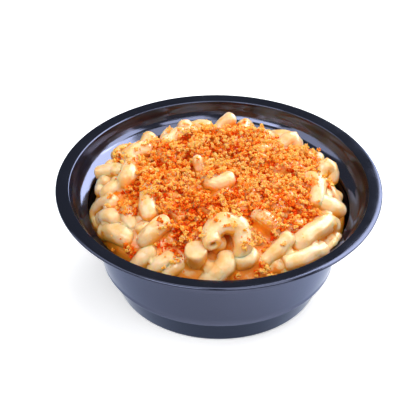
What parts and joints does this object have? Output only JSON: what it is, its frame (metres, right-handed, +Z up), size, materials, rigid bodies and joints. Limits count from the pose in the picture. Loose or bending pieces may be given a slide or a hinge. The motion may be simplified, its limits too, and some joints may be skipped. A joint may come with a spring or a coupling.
{
  "type": "bowl of macaroni and cheese",
  "caption": "Round black take-away bowl with a flat rim, heaped with corkscrew macaroni in cheese sauce under a scatter of toasted crumbs.",
  "frame": {"origin": "middle of the bowl's foot, on the surface it stands on", "axes": "+Z up along the bowl's axis, -Y towards the viewer, +X to the viewer's right"},
  "size_m": [0.18, 0.18, 0.0812],
  "materials": {
    "bowl_plastic": "glossy moulded black plastic with a blue cast and a faint skin texture",
    "cheesy_pasta": "cooked pasta under a wet coat of pale cheese sauce, soft and a little see-through",
    "toasted_crumbs": "dry toasted crumbs, from pale gold to deep orange"
  },
  "bodies": {
    "root": {"bowl": "bowl_plastic", "mac_and_cheese": "cheesy_pasta"}
  },
  "joints": []
}
